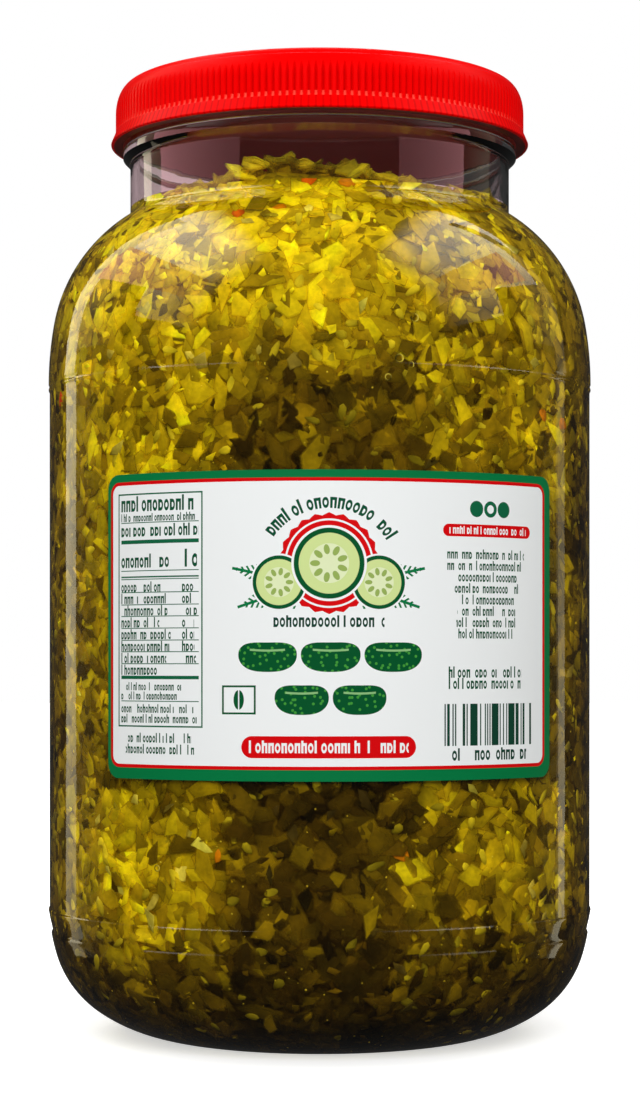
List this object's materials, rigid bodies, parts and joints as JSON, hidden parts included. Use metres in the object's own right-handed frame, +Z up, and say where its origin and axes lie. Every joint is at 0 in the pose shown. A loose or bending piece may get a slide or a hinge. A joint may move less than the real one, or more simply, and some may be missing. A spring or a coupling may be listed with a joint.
{
  "type": "jar of dill relish",
  "caption": "Clear wide-mouth jar filled to the neck with chopped dill relish, with a red ribbed screw cap and a wrap-around front label",
  "frame": {"origin": "centre of the circle that the jar stands on, in the standing plane", "axes": "+Z up along the jar's axis; the label faces -Y; +X is to the right when facing the label"},
  "size_m": [0.152, 0.152, 0.2655],
  "materials": {
    "clear_plastic": "glossy clear blown plastic",
    "relish": "wet chopped cucumber in brine, yellow-green",
    "red_plastic": "moulded, satin gloss",
    "label_paper": "coated printed paper"
  },
  "bodies": {
    "root": {"jar": "clear_plastic", "relish": "relish", "cap": "red_plastic", "label": "label_paper"}
  },
  "joints": []
}
